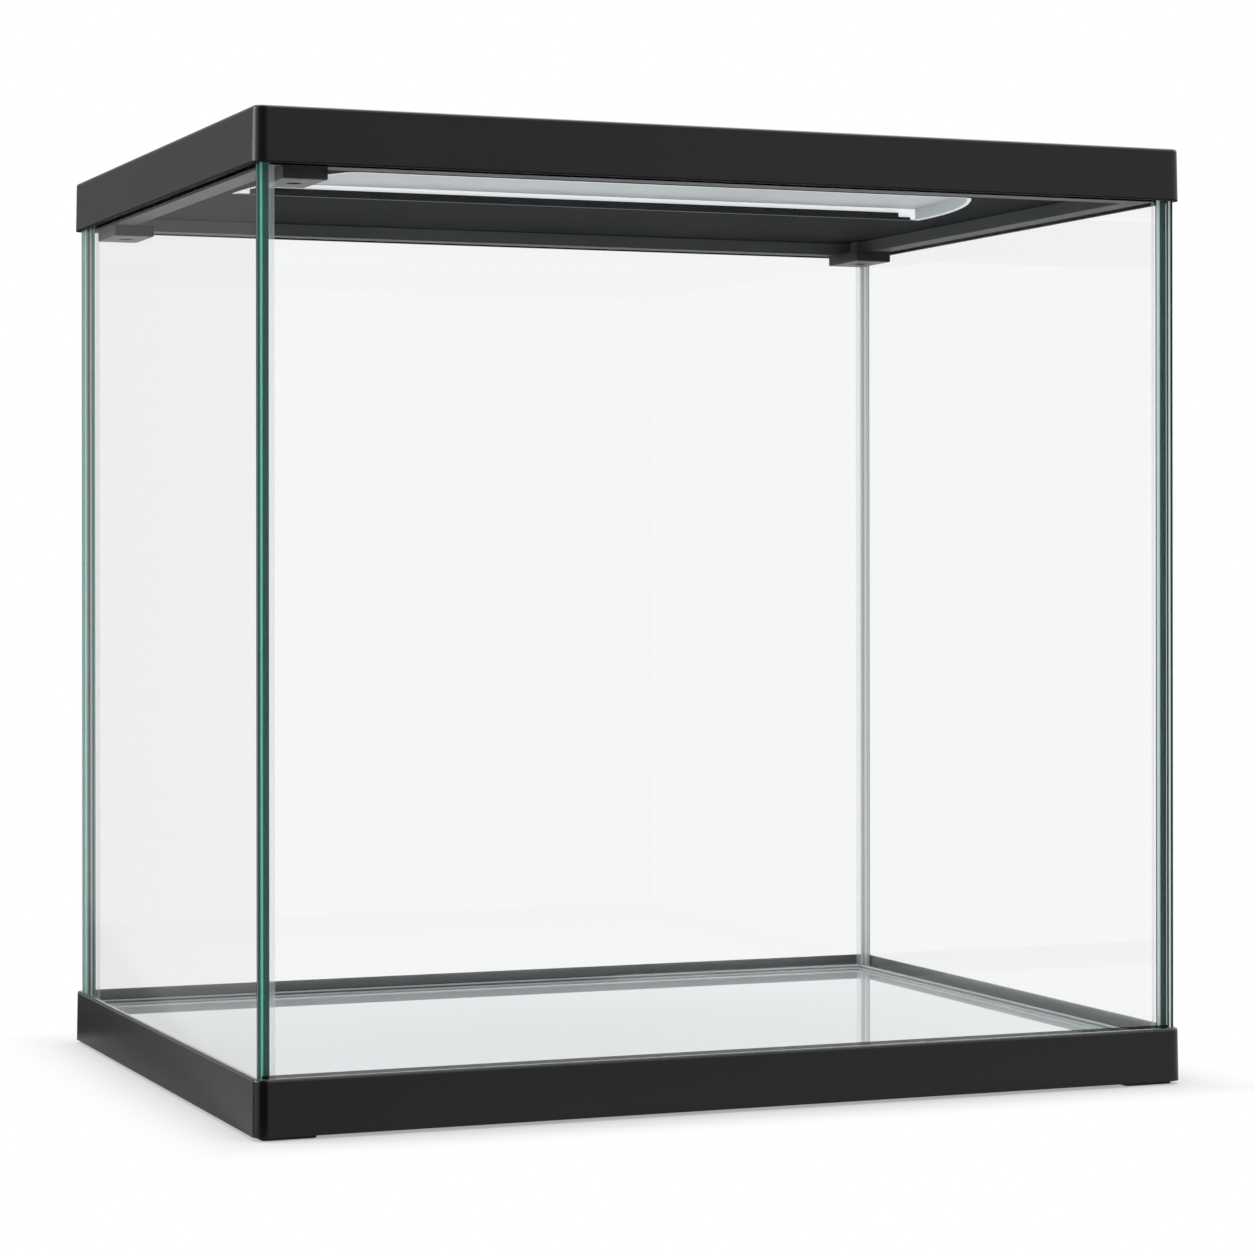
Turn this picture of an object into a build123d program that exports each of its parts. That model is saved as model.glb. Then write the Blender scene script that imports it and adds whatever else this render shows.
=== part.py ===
"""A rimmed glass aquarium with a lift-off lighting hood.

Millimetres. X runs to the right, Y to the rear and Z up. The origin lies on the table under the
middle of the tank. Insets are measured inwards from the outline that both black frames share.
"""

from build123d import *
import math
import os

# Whole aquarium
width = 400.0  # outline of both frames, left to right
depth = 304.0  # outline of both frames, front to rear
frame_height = 389.0  # underside of the base frame to the top of the hood
outline_radius = 5.0  # upright corners of both frames
draft = 1.0  # degrees; both mouldings narrow upwards
top_edge_radius = 1.0  # rounding along the top edges of both frames
inner_corner_radius = 0.8  # upright corners of the pockets that hold the glass

# Glass and silicone
glass = 5.0  # thickness of every pane
glass_inset = 2.8  # outer glass face, in from the outline
arris = 0.4  # ground edges of the panes
butt_joint = 0.5  # silicone between the edge of one pane and the face of the next
bead = 2.2  # leg of the silicone beads in the inner corners
bedding = 0.5  # silicone between the shelf and the panes
bedding_margin = 0.6  # bedding stays this far inside the shelf's edges

# Base frame
base_height = 22.0
base_glass_gap = 0.4  # between the skirt and the glass
shelf_level = 10.5  # top of the shelf above the frame's underside
shelf_wall = 2.5
shelf_reach = 13.0  # inset of the shelf's inner edge
rib_wall = 2.0  # stiffening rib under the shelf's inner edge
corner_plate = 2.5  # thickness of the plates that carry the feet
corner_plate_reach = 26.0  # inset of the plates' far edges

# Feet: L-shaped pads
foot_height = 1.5
foot_inset = 3.2
foot_length = 22.0
foot_width = 9.0
foot_corner = 2.0
foot_edge = 0.3

# Hood shell
hood_height = 21.6
hood_glass_gap = 0.5  # between the hood and the glass, on both faces
deck_dip = 1.2  # the deck lies this far under the rim
rim_width = 7.0
deck_wall = 2.4
deck_corner = 3.0
seat_rib = 2.0  # rib under the deck that stands on the light panel's flange
fittings_clearance = 0.3  # over the tallest of the fittings between the panel and the deck

# Light panel
recess = 6.0  # ceiling above the ledge
panel_wall = 2.0
ledge_width = 10.0
seat_gap = 0.2  # between the flange and the top edge of the glass at rest
flange_gap = 0.2  # between the flange and the skirt

# Light window and its diffuser
window_side = 37.5  # inset of the ends' widest places from the side outlines
window_front = 73.0  # inset of the front edge
window_rear = 172.5  # inset of the rear edge from the front outline
window_bow = 195.0  # radius of the bowed ends
window_bow_centre = 165.0  # inset of the ends' widest place from the front outline
window_front_corner = 6.0
window_rear_corner = 2.0
least_window_corner = 0.5
lens_gap = 0.3  # between the diffuser and the window
lens_wall = 1.8
lens_rise = 5.3  # frosted face above the ceiling
lens_flange = 5.0
lens_flange_wall = 1.5
lens_seal = 0.5
lens_seal_margin = 1.0  # the seal's edges, inside the flange's
retainer_height = 3.1
retainer_wall = 1.4
retainer_stop = 3.0  # the bar ends this far before the window's right end
retainer_foot = 6.0  # low foot at the bar's right end
retainer_foot_height = 1.2

# Lighting
board_end = 12.5  # the board stops this far inside the window's ends
board_width = 18.0
board_wall = 1.6
board_pad = 1.4  # height of the pads that carry the board
board_pad_radius = 3.2
board_screw_end = 10.0  # from the board's ends
led_size = (3.5, 2.8, 0.8)
led_rows = 2
led_row_pitch = 6.0
leds_per_row = 18
led_margin = 26.75  # from the board's ends to the first and last lamps

# Corner blocks under the ledge
block_width = 17.7
block_length = 32.0
block_height = 5.0
block_edge = 0.5
block_bore_depth = 2.7
block_setbacks = {"front_left": (5.3, 0.7), "rear_left": (0.3, 3.7), "rear_right": (0.3, 3.7)}
boss_radius = 4.0  # under the deck
panel_boss_radius = 4.5  # in the light panel's ledge

# Screws
corner_screw = {"head_radius": 2.8, "head_height": 1.8, "shank_radius": 1.5, "length": 13.0}
board_screw = {"head_radius": 2.2, "head_height": 1.1, "shank_radius": 1.25, "length": 4.4}
head_edge = 0.35
head_clearance = 0.3
shank_clearance = 0.2
thread_clearance = 0.02
driver_slot = 0.7

# Feed flap in the front of the deck
feed_width = 90.0
feed_front = 24.0  # inset of the opening's front edge
feed_depth = 32.0
feed_corner = 3.0
chute_wall = 1.6
flap_lap = 4.0  # flap beyond the opening at the front and the sides
flap_wall = 2.0
flap_rise = 0.6  # flap's top above the deck
flap_corner = 1.5
flap_edge = 0.3
flap_gap = 0.4
flap_seat_gap = 0.1
flap_frame = 2.4  # thickening under the deck round the flap
flap_frame_margin = 3.0
hinge_setback = 5.0  # hinge axis behind the opening
hinge_rod_radius = 1.0
hinge_running_gap = 0.08
hinge_fixed_gap = 0.02
barrel_radius = 2.1
barrel_length = 12.0
barrel_gap = 0.4
hinge_drop = 1.2  # hinge axis under the deck's top
ear_length = 5.0
ear_rise = 1.0
ear_edge = 0.5
finger_width = 20.0
finger_reach = 7.0  # scoop in front of the flap
finger_under = 3.0  # scoop under the flap's front edge
finger_depth = 1.4  # scoop under the flap's underside
finger_wall = 1.6
finger_corner = 3.5

# Push switch and inlet, at the rear right of the hood
power_inset = 50.0  # both, from the right outline
button_inset = 57.0  # the switch, from the rear outline
button_radius = 5.3
button_gap = 0.3
button_rise = 0.9  # cap's top above the deck
button_edge = 0.45
button_flange = 1.7  # flange beyond the cap
button_flange_wall = 1.0
button_travel = 1.2
plunger_radius = 1.7
plunger_gap = 0.15
plunger_length = 3.0
press_clearance = 0.2
switch_side = 9.0
switch_height = 4.2
circuit_width = 30.0
circuit_depth = 26.0
circuit_wall = 1.6
circuit_standoff = 1.5
standoff_radius = 2.0
socket_side = 9.0
socket_length = 12.5
socket_bore_radius = 3.15
socket_bore_depth = 9.5
socket_pin_radius = 1.05
socket_pin_length = 8.0
socket_window_radius = 3.7
socket_lift = 0.4  # between the socket and the light panel
lead_radius = 0.6
lead_pitch = 4.0
lead_rise = 4.0  # the inlet's leads above the switch board
inlet_lead_bend = 1.3
light_lead_bend = 2.0

# Levels
base_top = foot_height + base_height
shelf_top = foot_height + shelf_level
glass_low = shelf_top + bedding
floor_top = glass_low + glass
hood_top = foot_height + frame_height
hood_low = hood_top - hood_height
deck_top = hood_top - deck_dip
deck_low = deck_top - deck_wall
socket_stack = socket_lift + socket_side
switch_stack = circuit_standoff + circuit_wall + switch_height + press_clearance
switch_stack += button_travel + button_flange_wall
light_stack = lens_rise + lens_wall - panel_wall + led_size[2] + board_wall + board_pad
panel_top = deck_low - max(socket_stack, switch_stack, light_stack) - fittings_clearance
ceiling = panel_top - panel_wall
ledge_low = ceiling - recess
glass_top = ceiling - seat_gap

# Plan sizes
front = -depth / 2
outer_x = width / 2 - glass_inset
outer_y = depth / 2 - glass_inset
inner_x = outer_x - glass
inner_y = outer_y - glass
base_skirt = glass_inset - base_glass_gap
hood_skirt = glass_inset - hood_glass_gap
ledge_inset = glass_inset + glass + hood_glass_gap
window_half = width / 2 - window_side
board_half = window_half - board_end
power_x = width / 2 - power_inset
button_y = depth / 2 - button_inset
corners = {
    "front_left": (-1, -1),
    "front_right": (1, -1),
    "rear_left": (-1, 1),
    "rear_right": (1, 1),
}
cut = 1.0  # how far a cutting shape runs past the face that it opens

nodes = {}


def block(x_low, x_high, y_low, y_high, z_low, z_high):
    """A box between six planes."""
    low = (x_low, y_low, z_low)
    size = (x_high - x_low, y_high - y_low, z_high - z_low)
    return Pos(*low) * Box(*size, align=(Align.MIN, Align.MIN, Align.MIN))


def post(x, y, z_low, z_high, radius):
    """An upright cylinder."""
    align = (Align.CENTER, Align.CENTER, Align.MIN)
    return Pos(x, y, z_low) * Cylinder(radius, z_high - z_low, align=align)


def slab(inset, z_low, z_high, radius, taper=0.0):
    """The frames' outline moved inwards, as a plate with rounded corners."""
    outline = RectangleRounded(width - 2 * inset, depth - 2 * inset, radius)
    return Pos(0, 0, z_low) * extrude(outline, z_high - z_low, taper=taper)


def ring(outer_inset, inner_inset, z_low, z_high):
    """A flat frame between two insets, with upright faces."""
    hole = slab(inner_inset, z_low - cut, z_high + cut, inner_corner_radius)
    return slab(outer_inset, z_low, z_high, inner_corner_radius) - hole


def moulding(z_low, z_high):
    """A solid with the frames' outer faces and a rounded top edge."""
    body = slab(0, z_low, z_high, outline_radius, draft)
    top = body.faces().sort_by(Axis.Z)[-1]
    return fillet(top.edges(), top_edge_radius)


def window(inset, z_low, z_high):
    """The light window's outline, moved inwards, as a plate. Its ends bow outwards."""
    half = window_half - inset
    low = front + window_front + inset
    high = front + window_rear - inset
    half_plate = Pos(half / 2, (low + high) / 2) * Rectangle(half, high - low)
    bow_x = window_half - window_bow
    half_plate &= Pos(bow_x, front + window_bow_centre) * Circle(window_bow - inset)
    outline = half_plate + mirror(half_plate, Plane.YZ)
    by_depth = outline.vertices().sort_by(Axis.Y)
    rear_radius = max(window_rear_corner - inset, least_window_corner)
    front_radius = max(window_front_corner - inset, least_window_corner)
    outline = fillet(by_depth[-2:], rear_radius)
    outline = fillet(outline.vertices().sort_by(Axis.Y)[:2], front_radius)
    return Pos(0, 0, z_low) * extrude(outline, z_high - z_low)


def screw(head_radius, head_height, shank_radius, length):
    """A cross-head screw that points up, with the underside of its head at the origin."""
    head = post(0, 0, -head_height, 0, head_radius)
    head = fillet(head.edges().sort_by(Axis.Z)[0], head_edge)
    slot = Box(head_radius, driver_slot, head_height)
    cross = Pos(0, 0, -head_height) * (slot + Rot(0, 0, 90) * slot)
    return head + post(0, 0, 0, length, shank_radius) - cross


def make_base_frame():
    """Skirt, shelf and rib in one moulding, with a plate over each foot."""
    body = moulding(foot_height, base_top)
    body -= slab(base_skirt, shelf_top, base_top + cut, inner_corner_radius)
    body -= slab(shelf_reach, foot_height - cut, shelf_top + cut, inner_corner_radius)
    shelf_low = shelf_top - shelf_wall
    hollow = ring(base_skirt, shelf_reach - rib_wall, foot_height - cut, shelf_low)
    hollow += slab(base_skirt, foot_height - cut, foot_height + corner_plate, inner_corner_radius)
    for side_x, side_y in corners.values():
        far = corner_plate_reach
        x_pair = sorted((side_x * width / 2, side_x * (width / 2 - far)))
        y_pair = sorted((side_y * depth / 2, side_y * (depth / 2 - far)))
        hollow -= block(*x_pair, *y_pair, foot_height, foot_height + corner_plate)
    return body - hollow


def make_feet():
    """Four L-shaped pads, each a node, along the corners of the frame."""
    pad = RectangleRounded(foot_length, foot_length, foot_corner)
    pad -= Pos(foot_width, foot_width) * RectangleRounded(foot_length, foot_length, foot_corner)
    pad = extrude(pad, foot_height)
    pad = chamfer(pad.faces().sort_by(Axis.Z)[0].edges(), foot_edge)
    middle = (width / 2 - foot_inset - foot_length / 2, depth / 2 - foot_inset - foot_length / 2)
    placed = Pos(-middle[0], -middle[1], 0) * pad
    for name, (side_x, side_y) in corners.items():
        shape = placed
        if side_x > 0:
            shape = mirror(shape, Plane.YZ)
        if side_y > 0:
            shape = mirror(shape, Plane.XZ)
        nodes["foot_" + name] = shape


def pane(*planes):
    """A pane of glass with ground edges."""
    body = block(*planes)
    return chamfer(body.edges(), arris)


def make_glass():
    """Front and rear run the full width; the sides and the floor fit between them."""
    nodes["front_glass"] = pane(-outer_x, outer_x, -outer_y, -inner_y, glass_low, glass_top)
    nodes["rear_glass"] = pane(-outer_x, outer_x, inner_y, outer_y, glass_low, glass_top)
    side_y = inner_y - butt_joint
    nodes["left_glass"] = pane(-outer_x, -inner_x, -side_y, side_y, glass_low, glass_top)
    nodes["right_glass"] = pane(inner_x, outer_x, -side_y, side_y, glass_low, glass_top)
    floor_x = inner_x - butt_joint
    nodes["floor_glass"] = pane(-floor_x, floor_x, -side_y, side_y, glass_low, floor_top)


def make_corner_seals():
    """In each corner a butt joint across the side pane's edge and a hollow-faced bead inside it."""
    joint = block(
        -outer_x + arris, -inner_x, -inner_y, -inner_y + butt_joint, glass_low, glass_top - arris
    )
    hollow = bead * (1 - math.sqrt(0.5))
    tip_x = (-inner_x + bead, -inner_y)
    tip_y = (-inner_x, -inner_y + butt_joint + bead)
    middle = (-inner_x + hollow, -inner_y + butt_joint + hollow)
    edges = Line((-inner_x, -inner_y), tip_x) + ThreePointArc(tip_x, middle, tip_y)
    edges += Line(tip_y, (-inner_x, -inner_y))
    fillet_bead = extrude(make_face(edges), ledge_low - butt_joint - floor_top)
    seal = joint + Pos(0, 0, floor_top) * fillet_bead
    for name, (side_x, side_y) in corners.items():
        shape = seal
        if side_x > 0:
            shape = mirror(shape, Plane.YZ)
        if side_y > 0:
            shape = mirror(shape, Plane.XZ)
        nodes["seal_" + name] = shape


def make_floor_seal():
    """Silicone round the floor pane: a butt joint under a sloping bead."""
    joint_x = inner_x - butt_joint
    joint_y = inner_y - butt_joint
    body = block(-inner_x, inner_x, -inner_y, inner_y, glass_low, floor_top + bead)
    body -= block(-joint_x, joint_x, -joint_y, joint_y, glass_low - cut, floor_top)
    well = Rectangle(2 * (inner_x - bead), 2 * (inner_y - bead))
    body -= Pos(0, 0, floor_top) * extrude(well, bead, taper=-45)
    for name in corners:
        body -= nodes["seal_" + name]
    return body


def make_bedding():
    """Thin silicone on the shelf, under all five panes."""
    outer = glass_inset + bedding_margin
    inner = shelf_reach - bedding_margin
    return ring(outer, inner, shelf_top, glass_low)


def block_centre(name):
    """Where a corner block's screw stands."""
    side_x, side_y = corners[name]
    setback_x, setback_y = block_setbacks[name]
    x = width / 2 - ledge_inset - setback_x - block_width / 2
    y = depth / 2 - ledge_inset - setback_y - block_length / 2
    return side_x * x, side_y * y


def feed_planes(margin):
    """The feed opening's four sides, moved outwards."""
    y_low = front + feed_front
    return (
        -feed_width / 2 - margin,
        feed_width / 2 + margin,
        y_low - margin,
        y_low + feed_depth + margin,
    )


flap_top = deck_top + flap_rise
flap_low = flap_top - flap_wall
flap_half = feed_width / 2 + flap_lap
flap_front = front + feed_front - flap_lap
hinge_y = front + feed_front + feed_depth + hinge_setback
hinge_z = deck_top - hinge_drop
pocket_reach = barrel_radius + barrel_gap
frame_low = deck_low - flap_frame
board_y = front + (window_front + window_rear) / 2
board_top = deck_low - board_pad
board_low = board_top - board_wall
socket_z = panel_top + socket_lift + socket_side / 2
socket_rear = depth / 2 - hood_skirt
circuit_low = panel_top + circuit_standoff
circuit_top = circuit_low + circuit_wall


def board_holes():
    """Where the light board's screws stand."""
    reach = board_half - board_screw_end
    return [(x, board_y) for x in (-reach, reach)]


def make_hood_shell():
    """Skirt and deck in one moulding, with the bosses, pads and ears that its fittings need."""
    body = moulding(hood_low, hood_top)
    body -= slab(rim_width, deck_top, hood_top + cut, deck_corner)
    body -= slab(hood_skirt, hood_low - cut, deck_low, inner_corner_radius)
    rib_inner = hood_skirt + seat_rib
    body += ring(hood_skirt, rib_inner, panel_top, deck_low)
    for name in block_setbacks:
        x, y = block_centre(name)
        body += post(x, y, panel_top, deck_low, boss_radius)
        reach = ledge_low - block_height + block_bore_depth + corner_screw["length"] + shank_clearance
        body -= post(x, y, panel_top - cut, reach, corner_screw["shank_radius"] + thread_clearance)
    for x, y in board_holes():
        body += post(x, y, board_top, deck_low, board_pad_radius)
        reach = board_low + board_screw["length"] + shank_clearance
        body -= post(x, y, board_top - cut, reach, board_screw["shank_radius"] + thread_clearance)
    body = cut_flap_seat(body)
    return cut_power_openings(body)


def cut_flap_seat(body):
    """A thicker frame round the flap, its rebate, the hinge's pocket, its ears and a finger scoop."""
    rear = hinge_y + pocket_reach
    side = flap_half + flap_gap
    start = flap_front - flap_gap
    margin = flap_frame_margin
    body += block(-side - ear_length, side + ear_length, start - margin, rear + margin, frame_low, deck_low)
    for end in (-1, 1):
        ear_x = sorted((end * side, end * (side + ear_length)))
        ear = block(*ear_x, hinge_y - pocket_reach, hinge_y + pocket_reach, deck_low, deck_top + ear_rise)
        body += fillet(ear.edges().filter_by(Axis.X).sort_by(Axis.Z)[-2:], ear_edge)
    body -= block(-side, side, start, hinge_y, flap_low - flap_seat_gap, hood_top + cut)
    pocket_low = hinge_z - pocket_reach
    body -= block(-side, side, hinge_y - pocket_reach, rear, pocket_low, hood_top + cut)
    half = finger_width / 2 + finger_wall
    body += block(-half, half, start - finger_reach - finger_wall, start, frame_low, deck_low)
    opening = Pos(0, front + feed_front + feed_depth / 2, frame_low - cut) * extrude(
        RectangleRounded(feed_width, feed_depth, feed_corner), hood_top - frame_low + 2 * cut
    )
    body -= opening
    bore = Rot(0, 90, 0) * Cylinder(hinge_rod_radius + hinge_fixed_gap, 2 * (side + ear_length) + cut)
    body -= Pos(0, hinge_y, hinge_z) * bore
    half = finger_width / 2
    scoop_low = flap_low - finger_depth
    scoop_planes = (-half, half, start - finger_reach, start + finger_under)
    scoop = fillet(block(*scoop_planes, scoop_low, hood_top + cut).edges().filter_by(Axis.Z), finger_corner)
    return body - scoop


def cut_power_openings(body):
    """The button's hole in the deck and the inlet's hole in the rear skirt."""
    body -= post(power_x, button_y, deck_low - cut, hood_top, button_radius + button_gap)
    gap = socket_side / 2 + flange_gap
    body -= block(
        power_x - gap, power_x + gap, socket_rear - seat_rib - cut, socket_rear, panel_top, deck_low
    )
    hole = Rot(90, 0, 0) * Cylinder(socket_window_radius, 2 * hood_skirt + 2 * cut)
    return body - Pos(power_x, depth / 2, socket_z) * hole


def make_light_panel():
    """The moulding under the hood: flange, hollow ledge, ceiling, window and feed chute."""
    flange = hood_skirt + flange_gap
    riser = ledge_inset + ledge_width
    body = slab(flange, ceiling, panel_top, inner_corner_radius)
    body += ring(ledge_inset, riser, ledge_low, ceiling)
    trough_low = ledge_low + panel_wall
    body -= ring(ledge_inset + panel_wall, riser - panel_wall, trough_low, panel_top + cut)
    for name in block_setbacks:
        x, y = block_centre(name)
        body += post(x, y, ledge_low, panel_top, panel_boss_radius)
    for name in block_setbacks:
        x, y = block_centre(name)
        hole = corner_screw["shank_radius"] + shank_clearance
        body -= post(x, y, ledge_low - cut, panel_top + cut, hole)
    body -= window(0, ceiling - cut, panel_top + cut)
    body += block(*feed_planes(chute_wall), ceiling, frame_low)
    opening = RectangleRounded(feed_width, feed_depth, feed_corner)
    opening = extrude(opening, frame_low - ceiling + 2 * cut)
    body -= Pos(0, front + feed_front + feed_depth / 2, ceiling - cut) * opening
    for end in (-1, 1):
        x = power_x + end * (circuit_width / 2 - standoff_radius)
        for y_side in (-1, 1):
            y = button_y + y_side * (circuit_depth / 2 - standoff_radius)
            body += post(x, y, panel_top, circuit_low, standoff_radius)
    return body


def make_diffuser():
    """A frosted pan: its rim is flush with the ceiling and its flange lies on the panel."""
    seat = panel_top + lens_seal
    top = ceiling + lens_rise + lens_wall
    body = window(lens_gap, ceiling, top)
    body -= window(lens_gap + lens_wall, ceiling - cut, ceiling + lens_rise)
    body += window(-lens_flange, seat, seat + lens_flange_wall) - window(lens_gap, seat - cut, top)
    return body


def make_lens_seal():
    """A flat seal between the diffuser's flange and the panel."""
    outer = window(lens_seal_margin - lens_flange, panel_top, panel_top + lens_seal)
    return outer - window(-lens_seal_margin, panel_top - cut, panel_top + lens_seal + cut)


def make_retainer():
    """A black bar along the rear of the window, with a low foot at its right end."""
    rear = front + window_rear - lens_gap - lens_wall
    half = window_half - lens_gap - lens_wall
    left = -half + window_front_corner
    right = half - retainer_stop
    y_low = rear - retainer_wall
    bar = block(left, right - retainer_foot, y_low, rear, ceiling, ceiling + retainer_height)
    foot = block(
        right - retainer_foot, right, y_low, rear, ceiling, ceiling + retainer_foot_height
    )
    return bar + foot


def make_light_board():
    """An aluminium board under the deck, its rows of lamps and its screws."""
    y_pair = (board_y - board_width / 2, board_y + board_width / 2)
    board = block(-board_half, board_half, *y_pair, board_low, board_top)
    screws = []
    for x, y in board_holes():
        board -= post(x, y, board_low - cut, board_top + cut, board_screw["shank_radius"] + shank_clearance)
        screws.append(Pos(x, y, board_low) * screw(**board_screw))
    leds = []
    first = board_half - led_margin
    led_pitch = 2 * first / (leds_per_row - 1)
    for row in range(led_rows):
        y = board_y + (row - (led_rows - 1) / 2) * led_row_pitch
        for place in range(leds_per_row):
            x = place * led_pitch - first
            leds.append(Pos(x, y, board_low - led_size[2] / 2) * Box(*led_size))
    nodes["light_board"] = board
    nodes["board_screws"] = Compound(screws)
    nodes["leds"] = Compound(leds)


def make_corner_blocks():
    """Three blocks under the ledge that centre the hood in the tank, each with its screw."""
    for name in block_setbacks:
        x, y = block_centre(name)
        low = ledge_low - block_height
        x_pair = (x - block_width / 2, x + block_width / 2)
        y_pair = (y - block_length / 2, y + block_length / 2)
        body = block(*x_pair, *y_pair, low, ledge_low)
        body = fillet(body.edges().group_by(Axis.Z)[0], block_edge)
        body -= post(x, y, low - cut, low + block_bore_depth, corner_screw["head_radius"] + head_clearance)
        body -= post(x, y, low, ledge_low + cut, corner_screw["shank_radius"] + shank_clearance)
        nodes["block_" + name] = body
        nodes["block_screw_" + name] = Pos(x, y, low + block_bore_depth) * screw(**corner_screw)


def make_flap():
    """Flap, its two barrels and the rod that they turn on."""
    plate = block(-flap_half, flap_half, flap_front, hinge_y - pocket_reach, flap_low, flap_top)
    plate = fillet(plate.edges().filter_by(Axis.Z), flap_corner)
    plate = fillet(plate.faces().sort_by(Axis.Z)[-1].edges(), flap_edge)
    for end in (-1, 1):
        x_pair = sorted((end * flap_half, end * (flap_half - barrel_length)))
        tongue_start = hinge_y - pocket_reach - feed_corner
        plate += block(*x_pair, tongue_start, hinge_y, flap_low, flap_top - flap_edge)
        barrel = Rot(0, 90, 0) * Cylinder(barrel_radius, barrel_length)
        plate += Pos(sum(x_pair) / 2, hinge_y, hinge_z) * barrel
    bore = Rot(0, 90, 0) * Cylinder(hinge_rod_radius + hinge_running_gap, 2 * flap_half + cut)
    nodes["feed_flap"] = plate - Pos(0, hinge_y, hinge_z) * bore
    rod_length = 2 * (flap_half + ear_length)
    rod = Rot(0, 90, 0) * Cylinder(hinge_rod_radius, rod_length)
    nodes["flap_hinge_rod"] = Pos(0, hinge_y, hinge_z) * rod


def make_switch():
    """Circuit board, switch body, and the plunger and cap that travel."""
    x_pair = (power_x - circuit_width / 2, power_x + circuit_width / 2)
    y_pair = (button_y - circuit_depth / 2, button_y + circuit_depth / 2)
    nodes["switch_board"] = block(*x_pair, *y_pair, circuit_low, circuit_top)
    half = switch_side / 2
    switch_top = circuit_top + switch_height
    flange_low = switch_top + press_clearance + button_travel
    body = block(
        power_x - half, power_x + half, button_y - half, button_y + half, circuit_top, switch_top
    )
    well = plunger_radius + plunger_gap
    plunger_low = flange_low - plunger_length
    body -= post(power_x, button_y, plunger_low - button_travel - press_clearance, switch_top + cut, well)
    nodes["switch_body"] = body
    nodes["switch_plunger"] = post(power_x, button_y, plunger_low, flange_low, plunger_radius)
    cap = post(power_x, button_y, flange_low, deck_top + button_rise, button_radius)
    cap = fillet(cap.edges().sort_by(Axis.Z)[-1], button_edge)
    flange_radius = button_radius + button_flange
    cap += post(power_x, button_y, flange_low, flange_low + button_flange_wall, flange_radius)
    nodes["switch_button"] = cap


def make_socket():
    """The low-voltage inlet behind its hole in the rear skirt, and its centre pin."""
    half = socket_side / 2
    y_low = socket_rear - socket_length
    body = block(power_x - half, power_x + half, y_low, socket_rear, socket_z - half, socket_z + half)
    bore = Rot(90, 0, 0) * Cylinder(socket_bore_radius, socket_bore_depth)
    body -= Pos(power_x, socket_rear - socket_bore_depth / 2, socket_z) * bore
    pin = Rot(90, 0, 0) * Cylinder(socket_pin_radius, socket_pin_length)
    bottom = socket_rear - socket_bore_depth
    nodes["inlet_socket"] = body
    nodes["inlet_pin"] = Pos(power_x, bottom + socket_pin_length / 2, socket_z) * pin


def lead(points, radius):
    """A lead: a tube along straight runs joined by arcs."""
    path = FilletPolyline(*points, radius=radius)
    section = Plane(origin=path @ 0, z_dir=path % 0) * Circle(lead_radius)
    return sweep(section, path=path)


def make_leads():
    """Two pairs of leads: inlet to switch board, and switch board to light board."""
    inlet_end = socket_rear - socket_length
    solder_y = button_y + circuit_depth / 2 - standoff_radius
    height = circuit_top + lead_rise
    supply = []
    for end in (-1, 1):
        x = power_x + end * lead_pitch / 2
        points = [
            (x, inlet_end, socket_z),
            (x, inlet_end - lead_pitch, socket_z),
            (x, solder_y + lead_pitch, height),
            (x, solder_y, height),
            (x, solder_y, circuit_top),
        ]
        supply.append(lead(points, inlet_lead_bend))
    nodes["inlet_leads"] = Compound(supply)
    feed = []
    board_edge = board_y + board_width / 2
    level = (board_low + board_top) / 2
    for place in (1, 2):
        x = power_x - circuit_width / 2 + place * lead_pitch
        y = button_y - circuit_depth / 2 + standoff_radius
        points = [(x, y, circuit_top), (x, y, level), (x, board_edge, level)]
        feed.append(lead(points, light_lead_bend))
    nodes["light_leads"] = Compound(feed)


nodes["base_frame"] = make_base_frame()
make_feet()
make_glass()
make_corner_seals()
nodes["floor_seal"] = make_floor_seal()
nodes["glass_bedding"] = make_bedding()
nodes["hood_shell"] = make_hood_shell()
nodes["light_panel"] = make_light_panel()
nodes["light_diffuser"] = make_diffuser()
nodes["lens_seal"] = make_lens_seal()
nodes["lens_retainer"] = make_retainer()
make_light_board()
make_corner_blocks()
make_flap()
make_switch()
make_socket()
make_leads()

os.makedirs("parts", exist_ok=True)
for name, shape in nodes.items():
    export_step(shape, f"parts/{name}.step")
print(len(nodes), "nodes")
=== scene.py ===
"""The finish of a rimmed glass aquarium with a lift-off lighting hood.

Metres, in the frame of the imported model: X to the right, Y to the rear, Z up, the table at Z = 0.
"""

import math

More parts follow.
